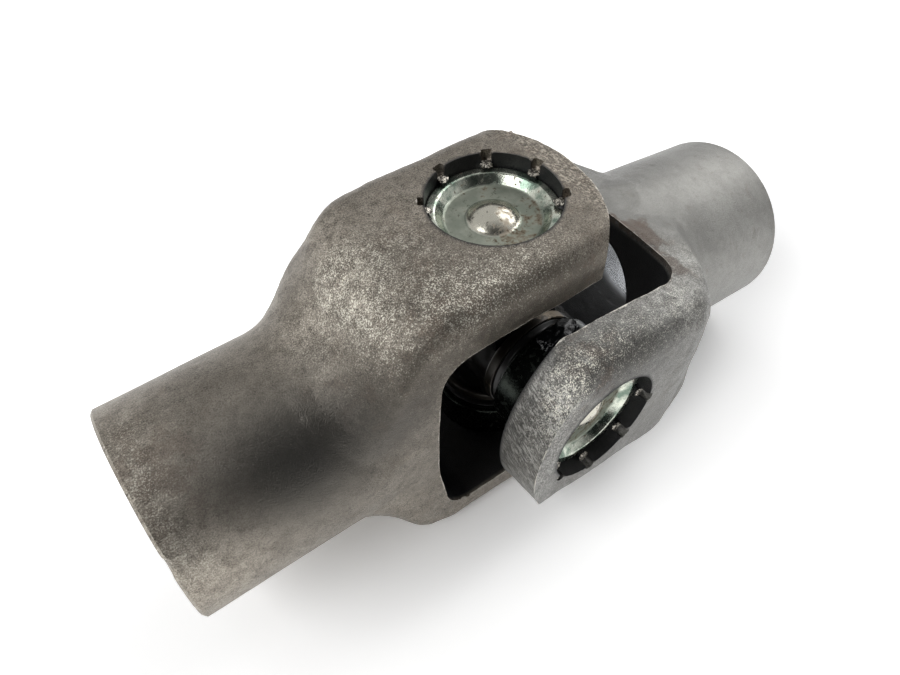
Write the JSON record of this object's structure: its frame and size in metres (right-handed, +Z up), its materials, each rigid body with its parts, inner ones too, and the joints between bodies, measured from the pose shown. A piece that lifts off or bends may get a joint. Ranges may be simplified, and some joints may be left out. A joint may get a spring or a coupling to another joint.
{
  "type": "universal joint",
  "caption": "Forged universal joint: two forks with round hub bores, turned a quarter turn apart on one cross with staked needle bearings.",
  "frame": {"origin": "on the surface that it lies on, under the middle of the joint's box", "axes": "+Z up, along the left fork's bearing bores; +X from the left fork's hub towards the right fork, along the left hub"},
  "size_m": [0.1476, 0.0674, 0.0656],
  "materials": {
    "forged_steel_left": "forged steel, oily dark grey brown with specks of rust and bright wear",
    "forged_steel_right": "forged steel, grey with a smoother hub and brown specks",
    "cross_steel": "hardened steel, dark and greasy",
    "cup_steel": "drawn steel, worn shiny, with greenish and rusty stains",
    "plated_steel": "pressed sheet steel, dull",
    "needle_steel": "ground and hardened steel",
    "seal_rubber": "black rubber, greasy",
    "thrust_plastic": "natural plastic"
  },
  "bodies": {
    "left": {"left_fork": "forged_steel_left", "bearing_cup_top": "cup_steel", "bearing_cup_bottom": "cup_steel"},
    "needles_vertical": {"needles_top": "needle_steel", "needles_bottom": "needle_steel"},
    "spider": {"cross": "cross_steel", "seal_retainer_top": "plated_steel", "seal_retainer_bottom": "plated_steel", "seal_retainer_near": "plated_steel", "seal_retainer_far": "plated_steel", "seal_top": "seal_rubber", "seal_bottom": "seal_rubber", "seal_near": "seal_rubber", "seal_far": "seal_rubber", "thrust_pin_top": "thrust_plastic", "thrust_pin_bottom": "thrust_plastic", "thrust_pin_near": "thrust_plastic", "thrust_pin_far": "thrust_plastic"},
    "needles_level": {"needles_near": "needle_steel", "needles_far": "needle_steel"},
    "right": {"right_fork": "forged_steel_right", "bearing_cup_near": "cup_steel", "bearing_cup_far": "cup_steel"}
  },
  "joints": [
    {"name": "swivel", "type": "hinge", "parent": "left", "child": "spider", "pos_m": [-0.00119, -0.00013, 0.0328], "axis": [0, 0, 1], "range_deg": [-22.8, 17.2]},
    {"name": "needle_roll_vertical", "type": "hinge", "parent": "left", "child": "needles_vertical", "pos_m": [-0.00119, -0.00013, 0.0328], "axis": [0, 0, 1], "range_deg": [-9.9, 7.52]},
    {"name": "nod", "type": "hinge", "parent": "spider", "child": "right", "pos_m": [-0.00119, -0.00013, 0.0328], "axis": [-0.0489, 0.9988, 0], "range_deg": [-30.5, 9.5]},
    {"name": "needle_roll_level", "type": "hinge", "parent": "spider", "child": "needles_level", "pos_m": [-0.00119, -0.00013, 0.0328], "axis": [-0.0489, 0.9988, 0], "range_deg": [-17.72, 5.66]}
  ],
  "couplings": [
    {"joint": "needle_roll_vertical", "follows": "swivel", "ratio": 0.4254},
    {"joint": "needle_roll_level", "follows": "nod", "ratio": 0.5746}
  ]
}
